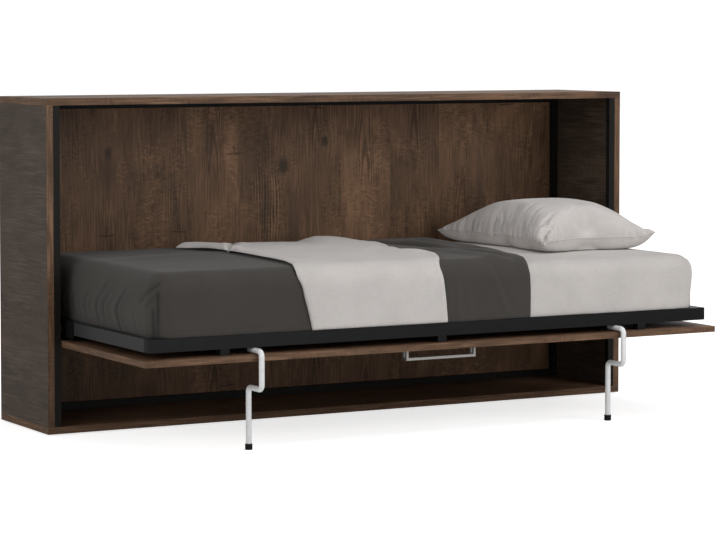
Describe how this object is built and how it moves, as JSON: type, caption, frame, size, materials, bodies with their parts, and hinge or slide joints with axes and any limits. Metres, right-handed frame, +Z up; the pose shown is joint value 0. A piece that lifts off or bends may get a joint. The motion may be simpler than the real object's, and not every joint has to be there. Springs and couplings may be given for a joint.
{
  "type": "fold-down wall bed",
  "caption": "Horizontal fold-down single wall bed, shown open: low wide cabinet, tube frame with closing panel, cranked legs, mattress, dark cover, pale throw and pillow.",
  "frame": {"origin": "middle of the footprint of the whole object with the bed open, on the floor", "axes": "+X to the right along the cabinet's width, seen from the front; +Y to the back, towards the wall; +Z up"},
  "size_m": [2.14, 1.045, 1.05],
  "materials": {
    "carcass_wood": "satin",
    "beech": "satin",
    "black_steel": "satin",
    "zinc_steel": "satin",
    "bright_steel": "satin",
    "leg_enamel": "gloss",
    "black_plastic": "matte",
    "bush_plastic": "matte",
    "foot_rubber": "matte",
    "ticking": "matte",
    "pale_sheet": "matte",
    "charcoal_cloth": "matte",
    "pale_cloth": "matte"
  },
  "bodies": {
    "cabinet": {"left_side_board": "carcass_wood", "right_side_board": "carcass_wood", "top_board": "carcass_wood", "bottom_board": "carcass_wood", "back_panel": "carcass_wood", "left_front_post": "black_steel", "right_front_post": "black_steel", "left_rear_post": "black_steel", "right_rear_post": "black_steel", "rear_top_rail": "black_steel", "rear_bottom_rail": "black_steel", "carcass_dowels": "beech", "post_screws": "zinc_steel", "floor_glides": "black_plastic", "left_pivot_block": "black_steel", "right_pivot_block": "black_steel", "pivot_bushes": "bush_plastic", "pivot_block_screws": "zinc_steel", "strut_wall_studs": "zinc_steel"},
    "bed": {"frame_front_rail": "black_steel", "frame_rear_rail": "black_steel", "frame_left_rail": "black_steel", "frame_right_rail": "black_steel", "frame_cross_bars": "black_steel", "tube_end_caps": "black_plastic", "slat_holders": "black_plastic", "slats": "beech", "left_pivot_plate": "black_steel", "right_pivot_plate": "black_steel", "pivot_pins": "zinc_steel", "door_panel": "carcass_wood", "door_spacers": "black_plastic", "door_screws": "zinc_steel", "door_handle": "bright_steel", "handle_screws": "zinc_steel", "leg_bearings": "black_plastic", "leg_bearing_screws": "zinc_steel", "mattress": "ticking", "fitted_sheet": "pale_sheet", "dark_cover": "charcoal_cloth", "pale_throw": "pale_cloth", "pillow": "pale_cloth"},
    "left_leg": {"left_leg": "leg_enamel", "left_foot": "foot_rubber", "left_leg_pin": "zinc_steel"},
    "right_leg": {"right_leg": "leg_enamel", "right_foot": "foot_rubber", "right_leg_pin": "zinc_steel"},
    "left_strut_tube": {"left_strut_cylinder": "black_steel"},
    "left_strut_piston_rod": {"left_strut_rod": "bright_steel", "left_strut_piston": "black_plastic", "left_rod_stud": "zinc_steel"},
    "right_strut_tube": {"right_strut_cylinder": "black_steel"},
    "right_strut_piston_rod": {"right_strut_rod": "bright_steel", "right_strut_piston": "black_plastic", "right_rod_stud": "zinc_steel"}
  },
  "joints": [
    {"name": "bed_fold", "type": "hinge", "parent": "cabinet", "child": "bed", "pos_m": [0, 0.1745, 0.323], "axis": [-1, 0, 0], "range_deg": [0, 90], "deforming": ["pillow"]},
    {"name": "left_leg_turn", "type": "hinge", "parent": "bed", "child": "left_leg", "pos_m": [-0.65, -0.4135, 0.304], "axis": [0, -1, 0], "range_deg": [0, 68]},
    {"name": "right_leg_turn", "type": "hinge", "parent": "bed", "child": "right_leg", "pos_m": [0.65, -0.4135, 0.304], "axis": [0, 1, 0], "range_deg": [0, 68]},
    {"name": "left_strut_swing", "type": "hinge", "parent": "cabinet", "child": "left_strut_tube", "pos_m": [-1.0145, 0.3065, 0.52], "axis": [-1, 0, 0], "range_deg": [0, 12.02]},
    {"name": "left_strut_slide", "type": "slide", "parent": "left_strut_tube", "child": "left_strut_piston_rod", "axis": [0, -0.2486, -0.9686], "range_m": [0, 0.10013]},
    {"name": "right_strut_swing", "type": "hinge", "parent": "cabinet", "child": "right_strut_tube", "pos_m": [1.0145, 0.3065, 0.52], "axis": [-1, 0, 0], "range_deg": [0, 12.02]},
    {"name": "right_strut_slide", "type": "slide", "parent": "right_strut_tube", "child": "right_strut_piston_rod", "axis": [0, -0.2486, -0.9686], "range_m": [0, 0.10013]}
  ],
  "couplings": [
    {"joint": "left_strut_swing", "follows": "bed_fold", "ratio": 0.13355},
    {"joint": "left_strut_slide", "follows": "bed_fold", "m_per_rad": 0.063744},
    {"joint": "right_strut_swing", "follows": "bed_fold", "ratio": 0.13355},
    {"joint": "right_strut_slide", "follows": "bed_fold", "m_per_rad": 0.063744}
  ]
}
